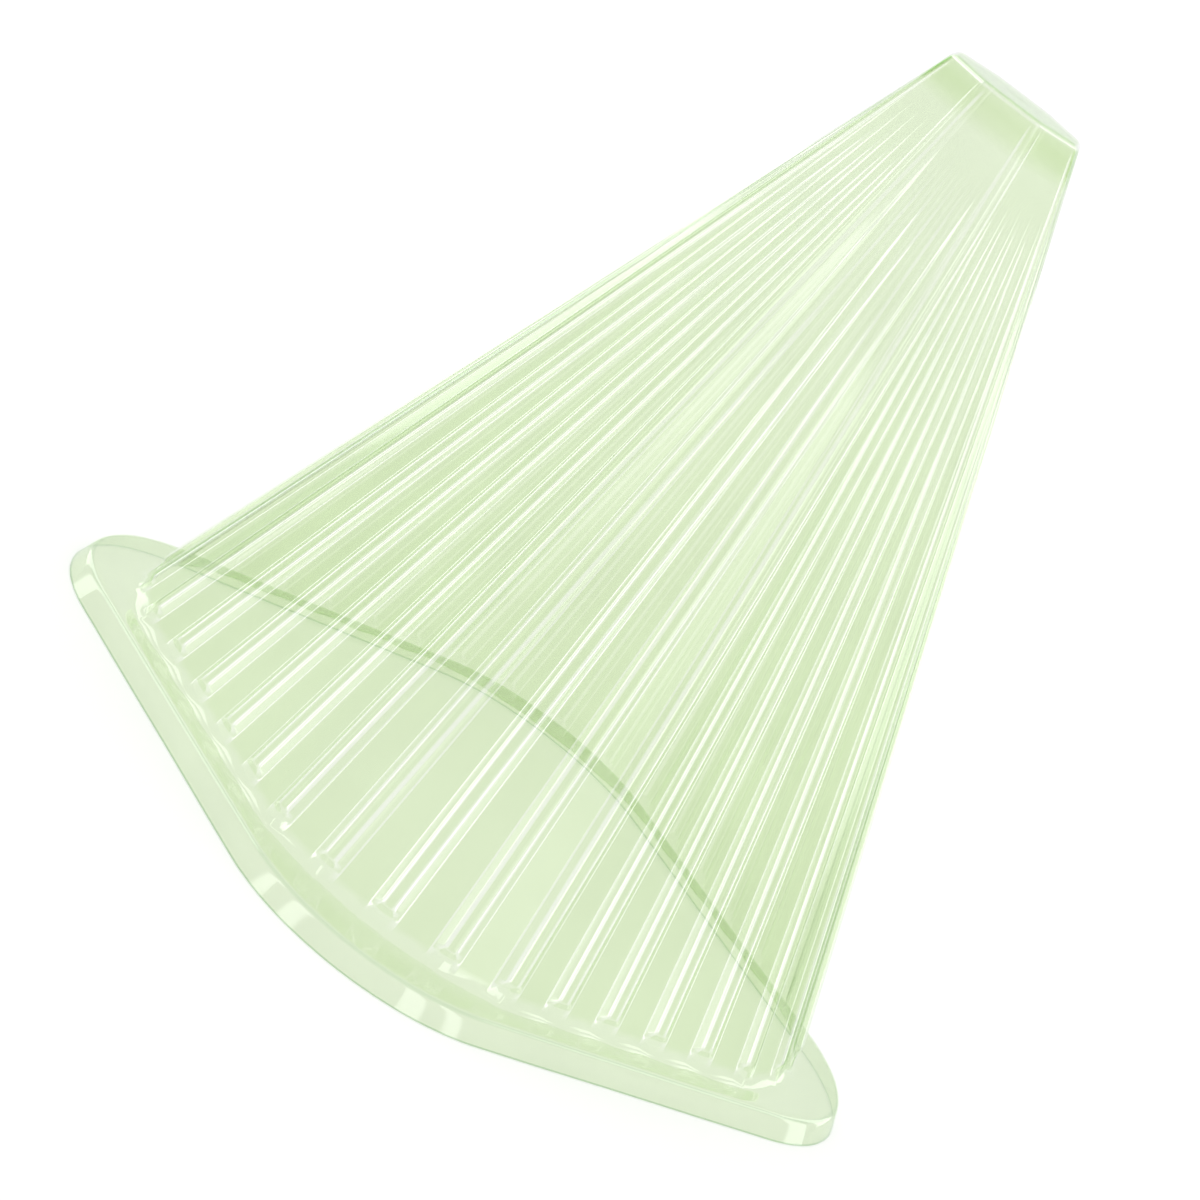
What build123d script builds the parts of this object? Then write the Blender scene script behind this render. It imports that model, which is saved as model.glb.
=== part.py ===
from build123d import *
from math import atan, cos, radians, sqrt, tan
import os

# A thermoformed garden cloche: one thin ribbed plastic cover, open below, that stands over a
# young plant on a flanged foot. Millimetres, +Z up, origin at the middle of the rim plane.
# Four flat sides face -Y, +X, +Y and -X, and four bowed corner panels join them.

# Overall sizes
height = 250.0  # rim plane to the closed top
base_width = 214.0  # across the trimmed rim, side to side
top_width = 40.0  # across the closed top, side to side
sheet = 0.6  # thickness of the formed sheet

# Foot: a skirt round the rim and a shelf from the skirt in to the wall
base_corner_radius = base_width * 53 / 214  # of the rim's outline, a fixed share of its width
skirt_height = 6.5
skirt_flare = 3.0  # how far the rim stands out from the shelf's edge
shelf_width = 8.0  # on a flat side, shelf's edge to wall
shelf_edge_radius = 1.6
wall_foot_radius = 2.6  # hollow fillet between shelf and wall
top_edge_radius = 1.5

# Corner panels
foot_corner_chord = 0.375 * (base_width - 2 * (skirt_flare + shelf_width))  # share of the foot
foot_corner_bow = foot_corner_chord * 7 / 48  # how far the panel bows out past its chord
top_corner_chord = 17.6
top_corner_bow = 0.5

# Ribs, raised outwards and hollow behind
ribs_per_side = 4
ribs_per_corner = 3
rib_width = 7.2  # at the rib's foot
rib_height = 1.5
crease_rib_width = 8.6  # along the line between a side and a corner panel
crease_rib_height = 1.4
rib_crest_share = 0.4  # of the rib's width
rib_foot_gap = 3.4  # shelf to the rib's lower end
rib_end_run = 3.2  # length over which the lower end rises
rib_top_gap = 30.0  # closed top to the point where a rib has faded out
crease_rib_top_gap = 9.0
rib_point_half = 0.8  # half width of a rib's hidden upper end
rib_end_sink = 0.2  # how far a rib's ends lie under the wall's face
rib_sink = 0.9  # depth of a rib's root in the wall

# Worked out from the sizes above
shelf_half = base_width / 2 - skirt_flare
foot_half = shelf_half - shelf_width
top_half = top_width / 2
wall_slope = atan((foot_half - top_half) / (height - skirt_height))
octagon_ratio = tan(radians(22.5))
shelf_search = 0.01  # how near the shelf's height a face has to lie to be taken as the shelf
below_rim = 2.0  # how far the hollow runs past the rim plane, to cut it open


def wall_section(level, inset):
    """Half width, half length of a side, and bow of a corner, at a level from 0 (foot) to 1 (top)."""
    reach = inset / cos(wall_slope)
    half = foot_half + (top_half - foot_half) * level - reach
    chord = foot_corner_chord + (top_corner_chord - foot_corner_chord) * level
    side = half + reach - chord / sqrt(2) - reach * octagon_ratio
    bow = foot_corner_bow + (top_corner_bow - foot_corner_bow) * level
    return half, side, bow


def wall_outline(level, inset, z):
    half, side, bow = wall_section(level, inset)
    bow_end = (half + side) / 2 + bow / sqrt(2)
    edges = []
    for turn in range(4):
        flat = Line((-side, -half), (side, -half))
        corner = ThreePointArc((side, -half), (bow_end, -bow_end), (half, -side))
        edges += [edge.rotate(Axis.Z, 90 * turn) for edge in (flat, corner)]
    return Pos(0, 0, z) * make_face(edges)


def foot_outline(half, radius, z):
    return Pos(0, 0, z) * RectangleRounded(2 * half, 2 * half, radius)


def skirt_at(z, inset):
    """Half width and corner radius of the skirt at a height, with the flare carried on below the rim."""
    out = skirt_flare * (1 - z / skirt_height)
    return shelf_half + out - inset, base_corner_radius - skirt_flare + out - inset


def rib_line(turn, share, on_corner):
    """The line up the wall that a rib follows, as a function from level to point, and its normal."""

    def point(level):
        half, side, bow = wall_section(level, 0.0)
        z = skirt_height + (height - skirt_height) * level
        if on_corner:
            bow_end = (half + side) / 2 + bow / sqrt(2)
            curve = ThreePointArc((side, -half), (bow_end, -bow_end), (half, -side))
            spot = curve @ share
        else:
            spot = Vector(-side + 2 * side * share, -half, 0)
        return Vector(spot.X, spot.Y, z).rotate(Axis.Z, 90 * turn)

    def normal(level):
        up = (point(1.0) - point(0.0)).normalized()
        half, side, bow = wall_section(level, 0.0)
        if on_corner:
            bow_end = (half + side) / 2 + bow / sqrt(2)
            curve = ThreePointArc((side, -half), (bow_end, -bow_end), (half, -side))
            along = curve % share
        else:
            along = Vector(1, 0, 0)
        along = along.rotate(Axis.Z, 90 * turn)
        return along.cross(up).normalized()

    return point, normal


def rib_section(width, rise, inset):
    """A ridge's cross section, X across the rib and Y out of the wall: flat crest, sloping flanks."""
    crest = rib_crest_share * width / 2
    slope = (width / 2 - crest) / rise
    draw_in = inset * sqrt(1 + slope**2)
    top, bottom = rise - inset, -rib_sink - inset

    def half(y):
        return width / 2 - slope * y - draw_in

    return [(-half(bottom), bottom), (-half(top), top), (half(top), top), (half(bottom), bottom)]


def hidden_section(half_width, inset):
    """The end of a ridge, under the wall's face, so that the ridge fades into the wall."""
    top, bottom = -rib_end_sink - inset, -rib_sink - inset
    return [(-half_width, bottom), (-half_width / 2, top), (half_width / 2, top), (half_width, bottom)]


def rib(turn, share, on_corner, width, rise, top_gap, inset):
    """One ridge along its line up the wall: a short lower end, full size, then a long taper."""
    point, normal = rib_line(turn, share, on_corner)
    span = height - skirt_height
    out = normal((rib_foot_gap + rib_end_run) / span)
    up = (point(1.0) - point(0.0)).normalized()
    across = out.cross(up).normalized() * -1

    def placed(section, level):
        plane = Plane(origin=point(level), x_dir=across, z_dir=across.cross(out))
        return plane * make_face(Polyline(*section, close=True))

    return loft(
        [
            placed(hidden_section(width / 4, inset), rib_foot_gap / span),
            placed(rib_section(width, rise, inset), (rib_foot_gap + rib_end_run) / span),
            placed(hidden_section(rib_point_half, inset), 1 - top_gap / span),
        ],
        ruled=True,
    )


def all_ribs(inset):
    pieces = []
    for turn in range(4):
        for number in range(1, ribs_per_side + 1):
            share = number / (ribs_per_side + 1)
            pieces.append(rib(turn, share, False, rib_width, rib_height, rib_top_gap, inset))
        for number in range(1, ribs_per_corner + 1):
            share = number / (ribs_per_corner + 1)
            pieces.append(rib(turn, share, True, rib_width, rib_height, rib_top_gap, inset))
        for share in (0.0, 1.0):
            pieces.append(
                rib(turn, share, False, crease_rib_width, crease_rib_height, crease_rib_top_gap, inset)
            )
    return pieces


def envelope(inset, bottom):
    """The cover as a full block, drawn in by inset on every face: outside at 0, inside at sheet."""
    shelf_z = skirt_height - inset
    level = -inset / (height - skirt_height)
    top_level = 1 - inset / (height - skirt_height)
    rim = foot_outline(*skirt_at(bottom, inset), bottom)
    skirt = loft([rim, foot_outline(*skirt_at(shelf_z, inset), shelf_z)])
    skirt = fillet(skirt.faces().sort_by(Axis.Z)[-1].edges(), shelf_edge_radius - inset)
    wall = loft(
        [wall_outline(level, inset, shelf_z), wall_outline(top_level, inset, height - inset)], ruled=True
    )
    body = skirt + wall
    shelf = body.faces().filter_by_position(Axis.Z, shelf_z - shelf_search, shelf_z + shelf_search)[0]
    body = fillet(shelf.inner_wires()[0].edges(), wall_foot_radius + inset)
    body = fillet(body.faces().sort_by(Axis.Z)[-1].edges(), top_edge_radius - inset)
    return body


def formed_block(inset, bottom):
    return envelope(inset, bottom) + all_ribs(inset)


cover = formed_block(0.0, 0.0) - formed_block(sheet, -below_rim)
os.makedirs("parts", exist_ok=True)
export_step(cover, "parts/cloche_cover.step")
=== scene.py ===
from math import atan2, cos, pi, radians, sin, sqrt

import bpy
import numpy as np
from mathutils import Matrix, Vector


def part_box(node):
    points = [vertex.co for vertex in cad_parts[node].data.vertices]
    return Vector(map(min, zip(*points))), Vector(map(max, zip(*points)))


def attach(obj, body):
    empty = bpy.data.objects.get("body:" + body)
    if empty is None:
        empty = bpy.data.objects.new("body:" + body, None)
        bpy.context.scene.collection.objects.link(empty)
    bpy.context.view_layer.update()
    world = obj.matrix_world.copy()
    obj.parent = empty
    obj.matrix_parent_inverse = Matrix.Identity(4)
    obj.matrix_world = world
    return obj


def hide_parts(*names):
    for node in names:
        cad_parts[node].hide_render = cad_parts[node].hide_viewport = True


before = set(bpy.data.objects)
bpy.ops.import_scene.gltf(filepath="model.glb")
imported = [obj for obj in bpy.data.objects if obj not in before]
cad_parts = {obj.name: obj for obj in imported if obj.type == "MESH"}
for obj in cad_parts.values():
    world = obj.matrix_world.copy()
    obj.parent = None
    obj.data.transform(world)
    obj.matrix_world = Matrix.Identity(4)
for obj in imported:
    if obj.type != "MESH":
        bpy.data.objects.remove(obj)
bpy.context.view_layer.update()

# A garden cloche, formed from one thin sheet of clear pale-green plastic. The CAD node is one
# plain shell. This script builds the same cover again as a finer shell of its own: rounded ribs
# with hipped lower ends, a scalloped foot, a slightly wavy trimmed rim and a thicker tip.
# Metres. The flat sides face -Y, +X, +Y and -X, and a corner panel joins each to the next.

low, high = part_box("cloche_cover")
mm = 0.001

# Overall sizes, from the frame
height = high[2]
rim_half = high[0]

# Foot
skirt_height = 6.5 * mm
skirt_flare = 3.0 * mm
shelf_width = 8.0 * mm
rim_corner_radius = 53.0 * mm
shelf_edge_radius = 1.8 * mm
foot_radius = 3.0 * mm
near_foot = 0.05  # share of the wall's height at which its slope is taken for the fillet
foot_scallop = 0.35  # how much larger the foot's fillet is between two ribs
top_edge_radius = 1.6 * mm
rim_wave = 0.35 * mm  # how far the trimmed rim wanders
rim_ripples = [(3, 0.4), (5, 2.1), (8, 4.0), (13, 1.2)]  # waves round the rim, and their phases

# Wall
shelf_half = rim_half - skirt_flare
foot_half = shelf_half - shelf_width
top_half = 20.0 * mm
foot_chord, top_chord = 72.0 * mm, 17.6 * mm
foot_bow, top_bow = 10.5 * mm, 0.5 * mm

# The outline is counted in pitches, from one rib or crease to the next
side_pitches = 5
corner_pitches = 4
turn_pitches = side_pitches + corner_pitches
pitches = 4 * turn_pitches

# Ribs: a crest of constant width, and flanks that run out until the rib fades into the wall
crest_half = 1.6 * mm
flank_run = 2.7 * mm  # at the shelf
flank_slope = 0.52
rib_fade = 230.0 * mm  # height above the shelf at which a rib has faded out
crease_fade = 262.0 * mm
crest_rounding = 0.32 * mm
base_rounding = 0.10 * mm
rib_start = 3.6 * mm
rib_end_slope = 0.5

# Sheet
wall_thickness = 0.55 * mm
tip_thickness = 0.8 * mm
tip_thick_from = 0.965  # share of the height above which the sheet thickens
edge_thinning = 0.55  # share of the thickness lost where the sheet was drawn round a rib's edges
# Painted highlights: the strips and faces below are thinned in the shell, and the plastic also paints
# them paler and glossier to stand in for highlights.
crest_streak = 0.65 * mm  # half width of the thinned strip with a painted highlight along a crest's edge
foot_streak = 0.2 * mm  # the same along the line where a rib meets the wall
hip_streak = 0.5 * mm  # the same along the slanting edges of a rib's lower end
streak_fade = 0.25 * mm  # flank length below which the strips fade with the rib
end_face_painted_light = 0.35  # how much the slanting face of a rib's lower end is thinned and paled with a painted highlight, from 0 to 1
foot_painted_light = 0.3  # the same for the skirt and shelf: thinned, and paled with painted light, from 0 to 1
wall_top_paling = 0.4  # how much thinner, paler and glossier the wall grows near its top, from 0 to 1
top_edge_painted_light = [0.2, 0.7, 0.9, 0.7, 0.3, 0.2, 0.2, 0.2, 0.2]  # thinning and a painted highlight, row by row over the top edge
inner_painted_light = 0.25  # share of the strips' painted highlight (whitening and extra gloss) that shows on the inner face

# Plastic
white = (1, 1, 1, 1)
depth_color, depth_density = (0.70, 0.90, 0.46, 1), 250.0
deep_tint, light_tint = (0.896, 0.926, 0.850, 1), (0.916, 0.946, 0.870, 1)  # one face's tint, mottled
# Painted shade: a darker tint along the cut rim and the shelf's edge, where the sheet looks dark
edge_shade_tint = (0.72, 0.82, 0.69, 1)
smoothest, roughest = 0.04, 0.10
painted_glint_gloss = 0.42  # extra mirroring on the thinned strips: a painted glint


def outline_share(pitch):
    """Which quarter turn a place on the outline is in, and its place in that quarter."""
    quarter = np.floor(pitch / turn_pitches)
    return quarter, pitch - quarter * turn_pitches


def turned(x, y, quarter):
    angle = quarter * pi / 2
    return x * np.cos(angle) - y * np.sin(angle), x * np.sin(angle) + y * np.cos(angle)


def wall_vertex(number, level):
    """The wall's outline at a rib or crease, by its number from 0, at a level from 0 to 1."""
    half = foot_half + (top_half - foot_half) * level
    chord = foot_chord + (top_chord - foot_chord) * level
    bow = foot_bow + (top_bow - foot_bow) * level
    side = half - chord / sqrt(2)
    quarter, place = outline_share(number)
    radius = (chord**2 / 4 + bow**2) / (2 * bow)
    spread = np.arcsin(chord / 2 / radius)
    angle = -pi / 4 + spread * (2 * (place - side_pitches) / corner_pitches - 1)
    centre = (half + side) / 2 + bow / sqrt(2) - radius / sqrt(2)
    on_side = place <= side_pitches
    x = np.where(on_side, -side + 2 * side * place / side_pitches, centre + radius * np.cos(angle))
    y = np.where(on_side, -half, -centre + radius * np.sin(angle))
    return turned(x, y, quarter)


def wall_point(pitch, level):
    """The wall without its ribs: flat facets between one rib line and the next."""
    first = np.floor(pitch)
    share = pitch - first
    x0, y0 = wall_vertex(first % pitches, level)
    x1, y1 = wall_vertex((first + 1) % pitches, level)
    return np.stack([x0 + (x1 - x0) * share, y0 + (y1 - y0) * share], axis=-1)


def rounded_square(pitch, half, radius):
    """A place on a rounded square, by the share of the way along it from the middle of a side."""
    quarter, place = outline_share(pitch + 2 * turn_pitches - side_pitches / 2)
    straight = half - radius
    length = 2 * straight + radius * pi / 2
    along = place / turn_pitches * length
    angle = np.clip((along - straight) / radius, 0, pi / 2) - pi / 2
    x = np.where(along < straight, along, straight + radius * np.cos(angle))
    y = np.where(along < straight, -half, -straight + radius * np.sin(angle))
    past = along - straight - radius * pi / 2
    x = np.where(past > 0, half, x)
    y = np.where(past > 0, -straight + past, y)
    return np.stack(turned(x, y, quarter - 2), axis=-1)


def at_height(outline, z):
    return np.concatenate([outline, np.full(outline.shape[:-1] + (1,), z)], axis=-1)


def smooth_min(a, b, reach):
    overlap = np.maximum(reach - np.abs(a - b), 0)
    return np.minimum(a, b) - overlap**2 / (4 * reach)


def flank_at(up):
    """How far a rib's flank runs out from its crest's edge, for each column, at a height."""
    return flank_run * np.clip(1 - up / np.where(is_crease, crease_fade, rib_fade), 0, 1)


# Rows given a painted shade (a deeper, darker tint) along the cut rim and the shelf's edge, and how
# deep that painted shade is at the shelf's edge, from 0 to 1
rim_rows, shelf_edge_rows = slice(0, 2), slice(7, 9)
shelf_edge_shade = 0.35

# Columns at distances from a rib's centre: across the crest's edge, then across the rib's foot
crest_columns = np.array([0.75, 1.15, 1.55, 1.95, 2.35]) * mm
foot_columns = np.array([-0.3, 0.05, 0.4]) * mm
foot_clear = 0.55 * mm  # least gap from the last crest column to the middle of the foot columns
columns_each = 2 * (len(crest_columns) + len(foot_columns)) + 2
numbers = np.repeat(np.arange(pitches), columns_each)
place_in_turn = numbers % turn_pitches
is_crease = (place_in_turn == 0) | (place_in_turn == side_pitches)
widest_column = 0.46  # of a pitch


def column_pitches(up, level):
    """Where each column runs, in pitches, at a height above the shelf; and the pitch's length."""
    a = np.stack(wall_vertex(numbers, level), axis=-1)
    b = np.stack(wall_vertex((numbers + 1) % pitches, level), axis=-1)
    pitch_length = np.linalg.norm(b - a, axis=-1)
    flank = flank_at(up)[::columns_each, None] + np.zeros((pitches, 1))
    crest = np.broadcast_to(crest_columns, (pitches, len(crest_columns)))
    foot = np.maximum(crest_half + flank + foot_columns, crest[:, -1:] + foot_columns + foot_clear)
    half = np.concatenate([crest, foot], axis=1) / pitch_length[::columns_each, None]
    half = half * np.minimum(1, widest_column / half[:, -1:])
    halfway = np.full((pitches, 1), 0.5)
    steps = np.concatenate([-half[:, ::-1], np.zeros_like(halfway), half, halfway], axis=1)
    return numbers + steps.ravel(), pitch_length


def rib_rise(up, pitch, pitch_length):
    """How far the ribs lift the wall, and how far each place is thinned and given a painted highlight,
    from 0 to 1.
    """
    distance = np.abs((pitch + 0.5) % 1 - 0.5) * pitch_length
    flank = flank_at(up)
    foot = crest_half + flank
    rise = flank_slope * flank
    size = np.clip(flank / flank_run, 0.02, 1)
    end = rib_end_slope * (up - rib_start)
    lift = smooth_min(rise, flank_slope * (foot - distance), crest_rounding * size)
    lift = smooth_min(lift, end, crest_rounding * size)
    lift = -smooth_min(-lift, np.zeros_like(lift), base_rounding * size)
    past_end = up - rib_start
    hip = flank_slope / rib_end_slope * np.clip(foot - distance, 0, flank)
    streak = crest_streak * (0.6 + 0.4 * size)
    along_crest = np.exp(-(((distance - crest_half) / streak) ** 4)) * (past_end > hip)
    along_foot = np.exp(-(((distance - foot) / foot_streak) ** 2)) * (past_end > -foot_streak)
    along_hip = np.exp(-(((past_end - hip) / hip_streak) ** 2)) * (distance > crest_half)
    along_hip = along_hip * (distance < foot + foot_streak)
    end_face = end_face_painted_light * (past_end > 0) * (past_end < hip) * (distance < foot)
    # Strips along a crest's edge, the rib's foot and its hip edges, and the end face: thinned, and
    # given a painted highlight
    thin_and_painted_light = np.maximum(np.maximum(along_crest, along_foot), np.maximum(along_hip, end_face))
    return lift, thin_and_painted_light * np.clip(flank / streak_fade, 0, 1) * (0.75 + 0.25 * size)


def direction(vector):
    return vector / np.linalg.norm(vector, axis=-1, keepdims=True)


def rounded(before, corner, after, radius, count):
    """Rows round a corner of the section, from one straight to the next."""
    start = corner + direction(before - corner) * radius
    end = corner + direction(after - corner) * radius
    rows = []
    for share in np.linspace(0, 1, count):
        rest = 1 - share
        rows.append(rest**2 * start + 2 * share * rest * corner + share**2 * end)
    return rows


def wave(angle):
    """A slow uneven ripple from 0 to 1 round the outline."""
    ripples = [np.sin(count * angle + phase) for count, phase in rim_ripples]
    return 0.5 + 0.5 * sum(ripples) / len(ripples)


def outer_rows():
    """Rows of the outer face from the rim to the top, with each place's lift and its share of thinning
    and painted light.
    """
    span = height - skirt_height
    foot_pitch, _ = column_pitches(0.0, 0.0)
    angle = foot_pitch / pitches * 2 * pi
    inward = (rim_wave * wave(angle))[:, None]
    rim = rounded_square(foot_pitch, rim_half, rim_corner_radius)
    rim = at_height(rim * (1 - inward / rim_half), 0.0)
    shelf_edge = at_height(
        rounded_square(foot_pitch, shelf_half, rim_corner_radius - skirt_flare), skirt_height
    )
    foot = at_height(wall_point(foot_pitch, 0.0), skirt_height)
    top_pitch, _ = column_pitches(span, 1.0)
    top = at_height(wall_point(top_pitch, 1.0), height)
    above_foot = at_height(wall_point(foot_pitch, near_foot), skirt_height + near_foot * span)
    middle = np.zeros_like(top) + np.array([0, 0, height])

    between = 0.5 - 0.5 * np.cos(2 * pi * foot_pitch)
    radius = (foot_radius * (1 + foot_scallop * (2 * between - 1)))[:, None]
    skirt_top = rounded(rim, shelf_edge, foot, shelf_edge_radius, 6)
    foot_rows = rounded(shelf_edge, foot, above_foot, radius, 7)
    rows = [rim + (skirt_top[0] - rim) * share for share in (0.0, 0.035, 0.09, 0.4, 0.7)]
    rows += skirt_top
    rows += [skirt_top[-1] + (foot_rows[0] - skirt_top[-1]) * share for share in (0.25, 0.5, 0.75)]
    rows += foot_rows[:-1]
    base = len(rows)

    # Rows in mm above the shelf, close together where the ribs begin
    ups = list(np.arange(4.2, 10.6, 0.55)) + [12.0]
    ups += list(np.linspace(18, 232, 26)) + [236.0, 239.0]
    lifts = [np.zeros(len(foot_pitch))] * base
    # Skirt and shelf: thinned, and paled with painted light
    thin_and_painted_light = [np.full(len(foot_pitch), foot_painted_light)] * base
    for up in ups:
        level = up * mm / span
        pitch, length = column_pitches(up * mm, level)
        rows.append(at_height(wall_point(pitch, level), skirt_height + up * mm))
        lift, rib_thin_and_lit = rib_rise(up * mm, pitch, length)
        lifts.append(lift)
        # Near its top the wall grows thinner, paler and glossier
        paler_near_top = wall_top_paling * level**2 * (level < tip_thick_from)
        thin_and_painted_light.append(np.maximum(rib_thin_and_lit, paler_near_top))
    below_top = rows[-1]
    top_rows = rounded(below_top, top, middle, top_edge_radius, 6)
    rows += top_rows
    rows += [top_rows[-1] * np.array([share, share, 1.0]) for share in (0.75, 0.5, 0.25)]
    plain = [np.zeros(len(foot_pitch))] * (len(rows) - len(lifts))
    # Top edge: thinning and a painted highlight
    thin_and_painted_light += [np.full(len(foot_pitch), painted_pale) for painted_pale in top_edge_painted_light]
    return np.array(rows), np.array(lifts + plain), np.array(thin_and_painted_light)


def grid_normals(rows):
    """Outward normals of a grid of rows, each a closed loop of columns."""
    along = np.roll(rows, -1, axis=1) - np.roll(rows, 1, axis=1)
    upward = np.gradient(rows, axis=0)
    normal = np.cross(along, upward)
    return direction(normal)


def shell_mesh(name):
    """The closed shell: outer face, inner face, and the cut edge that joins them at the rim."""
    rows, lifts, thin_and_painted_light = outer_rows()
    outer = rows + grid_normals(rows) * lifts[..., None]
    normals = grid_normals(outer)
    level = (outer[..., 2] / height)[..., None]
    tip_share = np.clip((level - tip_thick_from) / (1 - tip_thick_from), 0, 1)
    thickness = wall_thickness + (tip_thickness - wall_thickness) * tip_share**1.5
    thickness = thickness * (1 - edge_thinning * thin_and_painted_light[..., None])
    inner = outer - normals * thickness
    inner[0, :, 2] = 0.0

    count_rows, count_columns = outer.shape[:2]
    size = count_rows * count_columns
    outer_tip = [[0, 0, outer[-1, :, 2].mean()]]
    inner_tip = [[0, 0, inner[-1, :, 2].mean()]]
    points = np.concatenate([outer.reshape(-1, 3), inner.reshape(-1, 3), outer_tip, inner_tip])

    row = np.arange(count_rows - 1)[:, None]
    column = np.arange(count_columns)[None, :]
    after = (column + 1) % count_columns
    corners = [
        row * count_columns + column,
        row * count_columns + after,
        (row + 1) * count_columns + after,
        (row + 1) * count_columns + column,
    ]
    quads = np.stack([c.ravel() for c in np.broadcast_arrays(*corners)], axis=-1)
    column, after = column[0], after[0]
    edge = np.stack([column + size, after + size, after, column], axis=-1)
    faces = quads.tolist() + (quads[:, ::-1] + size).tolist() + edge.tolist()
    last = (count_rows - 1) * count_columns
    faces += np.stack([last + column, last + after, np.full_like(column, 2 * size)], axis=-1).tolist()
    faces += np.stack(
        [size + last + after, size + last + column, np.full_like(column, 2 * size + 1)], axis=-1
    ).tolist()

    # Painted shade along the cut rim, and fainter along the shelf's edge
    painted_edge_shade = np.zeros_like(thin_and_painted_light)
    painted_edge_shade[rim_rows] = 1.0
    painted_edge_shade[shelf_edge_rows] = shelf_edge_shade
    mesh = bpy.data.meshes.new(name)
    mesh.from_pydata(points.tolist(), [], faces)
    mesh.update()
    mesh.polygons.foreach_set("use_smooth", [True] * len(mesh.polygons))
    # Attributes for the plastic: the strips' painted highlight, and the painted shade along the edges
    for label, outside, inside in (
        ("thin_and_painted_light", thin_and_painted_light, inner_painted_light * thin_and_painted_light),
        ("painted_edge_shade", painted_edge_shade, painted_edge_shade),
    ):
        values = np.concatenate([outside.ravel(), inside.ravel(), [0, 0]])
        mesh.attributes.new(label, "FLOAT", "POINT").data.foreach_set("value", values)
    piece = bpy.data.objects.new(name, mesh)
    bpy.context.scene.collection.objects.link(piece)
    return piece


def node(tree, kind, **values):
    made = tree.nodes.new(kind)
    for key, value in values.items():
        if key in made.inputs:
            made.inputs[key].default_value = value
        else:
            setattr(made, key, value)
    return made


def clear_plastic():
    """Clear green plastic: faintly rippled gloss over a tint; painted highlights make the thinned
    strips paler and glossier, and a painted shade deepens the tint along the cut rim and the shelf's
    edge.
    """
    material = bpy.data.materials.new("cover_plastic")
    material.use_nodes = True
    tree = material.node_tree
    tree.nodes.clear()
    link = tree.links.new
    output = node(tree, "ShaderNodeOutputMaterial")
    depth = node(tree, "ShaderNodeVolumeAbsorption", Color=depth_color, Density=depth_density)
    place = node(tree, "ShaderNodeTexCoord")

    ripple = node(tree, "ShaderNodeTexNoise", Scale=60.0, Detail=3.0)
    bump = node(tree, "ShaderNodeBump", Strength=0.12, Distance=0.0004)
    link(place.outputs["Object"], ripple.inputs["Vector"])
    link(ripple.outputs["Fac"], bump.inputs["Height"])

    haze = node(tree, "ShaderNodeTexNoise", Scale=35.0, Detail=5.0)
    rough = node(tree, "ShaderNodeMapRange")
    rough.inputs["To Min"].default_value = smoothest
    rough.inputs["To Max"].default_value = roughest
    link(place.outputs["Object"], haze.inputs["Vector"])
    link(haze.outputs["Fac"], rough.inputs["Value"])

    tint = node(tree, "ShaderNodeValToRGB")
    tint.color_ramp.elements[0].position = 0.3
    tint.color_ramp.elements[0].color = deep_tint
    tint.color_ramp.elements[1].position = 0.7
    tint.color_ramp.elements[1].color = light_tint
    link(haze.outputs["Fac"], tint.inputs["Fac"])
    # Painted highlight: the thinned strips lose their tint and go white. Painted shade: the cut rim and
    # the shelf's edge get a deeper tint.
    painted_light_attr = node(tree, "ShaderNodeAttribute", attribute_name="thin_and_painted_light")
    painted_pale = node(tree, "ShaderNodeMix", data_type="RGBA")
    link(painted_light_attr.outputs["Fac"], painted_pale.inputs["Factor"])
    link(tint.outputs["Color"], painted_pale.inputs[6])
    painted_pale.inputs[7].default_value = white

    # Painted shade: mix in the darker edge tint along the cut rim and the shelf's edge
    edge_shade_attr = node(tree, "ShaderNodeAttribute", attribute_name="painted_edge_shade")
    edge_shaded = node(tree, "ShaderNodeMix", data_type="RGBA")
    link(edge_shade_attr.outputs["Fac"], edge_shaded.inputs["Factor"])
    link(painted_pale.outputs[2], edge_shaded.inputs[6])
    edge_shaded.inputs[7].default_value = edge_shade_tint
    clear = node(tree, "ShaderNodeBsdfTransparent")
    link(edge_shaded.outputs[2], clear.inputs["Color"])
    gloss = node(tree, "ShaderNodeBsdfGlossy", Color=white)
    link(rough.outputs["Result"], gloss.inputs["Roughness"])
    link(bump.outputs["Normal"], gloss.inputs["Normal"])
    # The gloss is only where light meets a face from the air side, and stronger on the thinned strips
    # as a painted glint
    mirror = node(tree, "ShaderNodeFresnel", IOR=1.5)
    facing = node(tree, "ShaderNodeNewGeometry")
    air_side = node(tree, "ShaderNodeMath", operation="SUBTRACT")
    air_side.inputs[0].default_value = 1.0
    link(facing.outputs["Backfacing"], air_side.inputs[1])
    gloss_with_glint = node(tree, "ShaderNodeMath", operation="MULTIPLY_ADD")
    gloss_with_glint.inputs[1].default_value = painted_glint_gloss
    link(painted_light_attr.outputs["Fac"], gloss_with_glint.inputs[0])
    link(mirror.outputs["Fac"], gloss_with_glint.inputs[2])
    amount = node(tree, "ShaderNodeMath", operation="MULTIPLY", use_clamp=True)
    link(gloss_with_glint.outputs[0], amount.inputs[0])
    link(air_side.outputs[0], amount.inputs[1])
    surface = node(tree, "ShaderNodeMixShader")
    link(amount.outputs[0], surface.inputs["Fac"])
    link(clear.outputs["BSDF"], surface.inputs[1])
    link(gloss.outputs["BSDF"], surface.inputs[2])
    link(surface.outputs["Shader"], output.inputs["Surface"])
    link(depth.outputs["Volume"], output.inputs["Volume"])
    return material


def build_cover():
    piece = shell_mesh("cover_shell")
    piece.data.materials.append(clear_plastic())
    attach(piece, "root")
    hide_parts("cloche_cover")


# Studio

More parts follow.
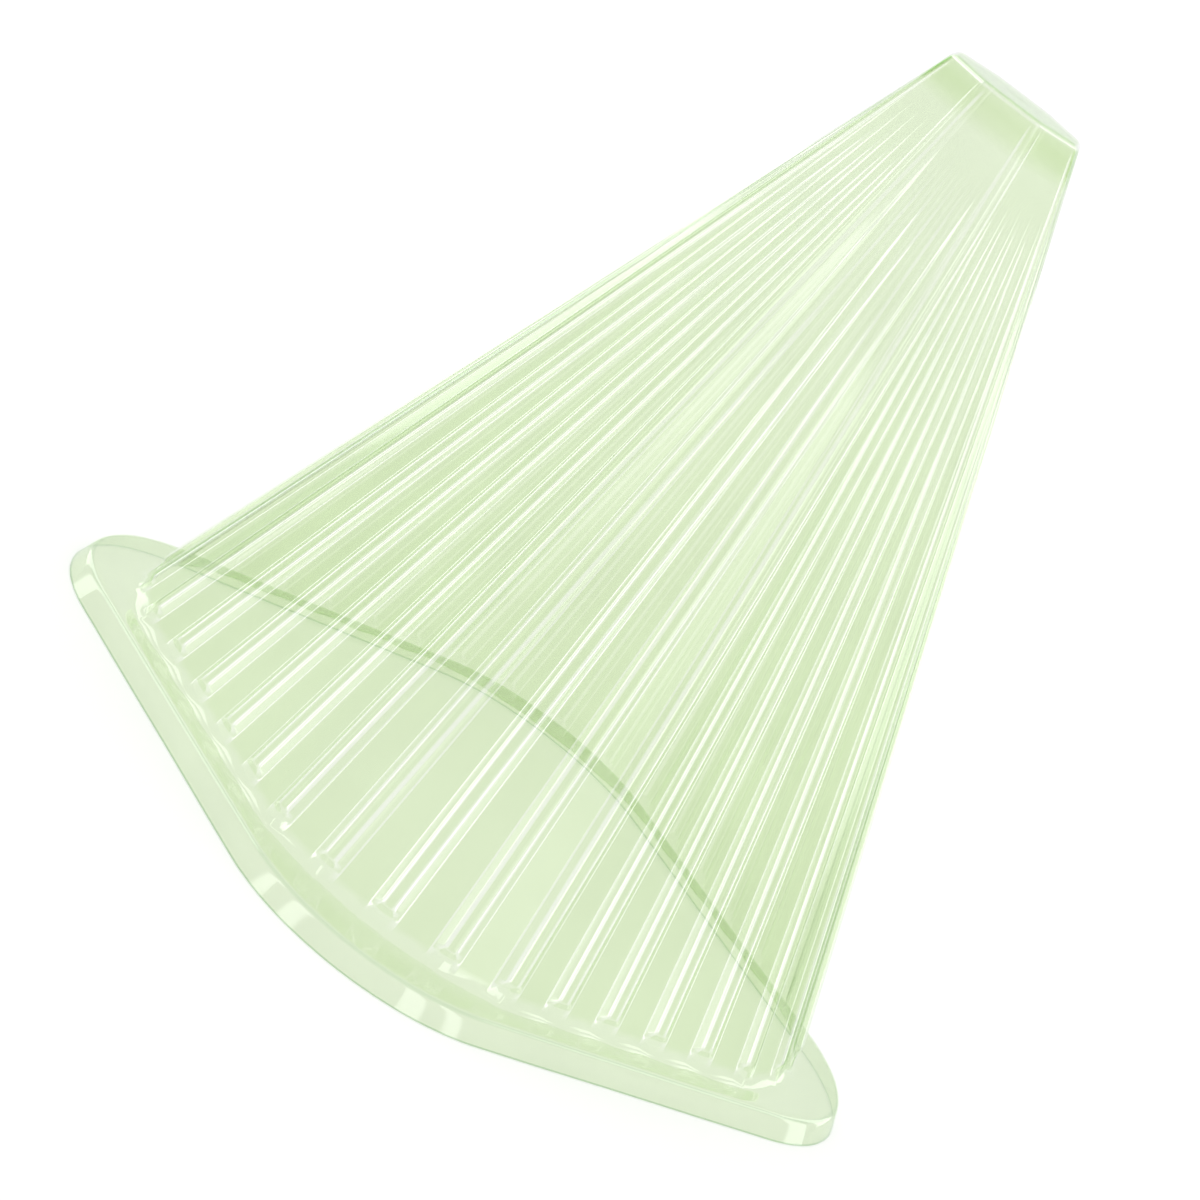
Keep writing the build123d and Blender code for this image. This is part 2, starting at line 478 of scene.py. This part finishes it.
floor_size = 6.0
floor_gap = 0.2 * mm
floor_paint, floor_glow = (0.75, 0.75, 0.75, 1), 0.22
world_strength = 1.15
look_at = Vector((-0.0055, -0.0055, 0.0779))
camera_place = Vector((0.6966, -0.6600, 0.3285))
camera_roll = radians(-37.14)
lens_to_frame = 3.10  # focal length over the frame's width
# Strips of light on either side of the camera: middle and half width in degrees round from it
strip_lights = [(42, 6), (68, 3), (112, 6), (140, 8)]
strip_edge = 2  # degrees over which a strip fades at its sides
strip_top, strip_top_edge = 50, 12  # degrees up at which a strip ends, and over which it fades
strip_strength = 0.9
gloss_white = 0.95


def build_floor():
    mesh = bpy.data.meshes.new("studio_floor")
    half = floor_size / 2
    corners = [(-half, -half, 0), (half, -half, 0), (half, half, 0), (-half, half, 0)]
    mesh.from_pydata(corners, [], [(0, 1, 2, 3)])
    floor = bpy.data.objects.new("studio_floor", mesh)
    bpy.context.scene.collection.objects.link(floor)
    material = bpy.data.materials.new("studio_white")
    material.use_nodes = True
    tree = material.node_tree
    tree.nodes.clear()
    output = node(tree, "ShaderNodeOutputMaterial")
    paint = node(tree, "ShaderNodeBsdfDiffuse", Color=floor_paint)
    glow = node(tree, "ShaderNodeEmission", Color=white, Strength=floor_glow)
    both = node(tree, "ShaderNodeAddShader")
    tree.links.new(paint.outputs["BSDF"], both.inputs[0])
    tree.links.new(glow.outputs["Emission"], both.inputs[1])
    tree.links.new(both.outputs["Shader"], output.inputs["Surface"])
    mesh.materials.append(material)
    floor.location.z = -floor_gap


def build_world():
    """White all round, with upright strips of brighter light for the plastic's gloss to mirror."""
    world = bpy.data.worlds.new("studio_world")
    bpy.context.scene.world = world
    world.use_nodes = True
    tree = world.node_tree
    tree.nodes.clear()
    link = tree.links.new
    output = node(tree, "ShaderNodeOutputWorld")
    place = node(tree, "ShaderNodeTexCoord")
    front = atan2(camera_place.y, camera_place.x)
    face = node(tree, "ShaderNodeVectorRotate", rotation_type="Z_AXIS", Angle=-front)
    parts = node(tree, "ShaderNodeSeparateXYZ")
    turn = node(tree, "ShaderNodeMath", operation="ARCTAN2")
    side = node(tree, "ShaderNodeMath", operation="ABSOLUTE")
    share = node(tree, "ShaderNodeMath", operation="DIVIDE")
    share.inputs[1].default_value = pi
    link(place.outputs["Generated"], face.inputs["Vector"])
    link(face.outputs["Vector"], parts.inputs["Vector"])
    link(parts.outputs["Y"], turn.inputs[0])
    link(parts.outputs["X"], turn.inputs[1])
    link(turn.outputs[0], side.inputs[0])
    link(side.outputs[0], share.inputs[0])
    strips = node(tree, "ShaderNodeValToRGB")
    ramp = strips.color_ramp
    stops = [(0.0, 0.0)]
    for middle, half in strip_lights:
        first, last = middle - half, middle + half
        stops += [(first - strip_edge, 0.0), (first, 1.0), (last, 1.0), (last + strip_edge, 0.0)]
    for number, (angle, value) in enumerate(stops):
        stop = ramp.elements[0] if number == 0 else ramp.elements.new(angle / 180)
        stop.position = angle / 180
        stop.color = (value, value, value, 1)
    ramp.elements.remove(ramp.elements[-1])
    link(share.outputs[0], strips.inputs["Fac"])
    height_fade = node(tree, "ShaderNodeMapRange", interpolation_type="SMOOTHSTEP")
    height_fade.inputs["From Min"].default_value = sin(radians(strip_top))
    height_fade.inputs["From Max"].default_value = sin(radians(strip_top - strip_top_edge))
    link(parts.outputs["Z"], height_fade.inputs["Value"])
    glow = node(tree, "ShaderNodeMath", operation="MULTIPLY")
    link(strips.outputs["Color"], glow.inputs[0])
    link(height_fade.outputs["Result"], glow.inputs[1])
    level = node(tree, "ShaderNodeMath", operation="MULTIPLY_ADD")
    level.inputs[1].default_value = strip_strength
    level.inputs[2].default_value = gloss_white
    link(glow.outputs[0], level.inputs[0])
    path = node(tree, "ShaderNodeLightPath")
    even = node(tree, "ShaderNodeBackground", Color=white, Strength=world_strength)
    lit = node(tree, "ShaderNodeBackground", Color=white)
    link(level.outputs[0], lit.inputs["Strength"])
    choose = node(tree, "ShaderNodeMixShader")
    link(path.outputs["Glossy Depth"], choose.inputs["Fac"])
    link(even.outputs["Background"], choose.inputs[1])
    link(lit.outputs["Background"], choose.inputs[2])
    link(choose.outputs["Shader"], output.inputs["Surface"])


def build_camera():
    forward = (look_at - camera_place).normalized()
    right = forward.cross(Vector((0, 0, 1))).normalized()
    up = right.cross(forward)
    across = right * cos(camera_roll) - up * sin(camera_roll)
    upward = right * sin(camera_roll) + up * cos(camera_roll)
    data = bpy.data.cameras.new("camera")
    data.sensor_width = 36.0
    data.lens = lens_to_frame * data.sensor_width
    data.clip_start = 0.01
    camera = bpy.data.objects.new("camera", data)
    bpy.context.scene.collection.objects.link(camera)
    turn = Matrix((across, upward, -forward)).transposed()
    camera.matrix_world = Matrix.Translation(camera_place) @ turn.to_4x4()
    bpy.context.scene.camera = camera


def set_up_render():
    scene = bpy.context.scene
    scene.view_settings.view_transform = "Standard"
    scene.cycles.max_bounces = 24
    scene.cycles.transmission_bounces = 24
    scene.cycles.transparent_max_bounces = 48
    scene.cycles.sample_clamp_indirect = 6.0


build_cover()
build_floor()
build_world()
build_camera()
set_up_render()
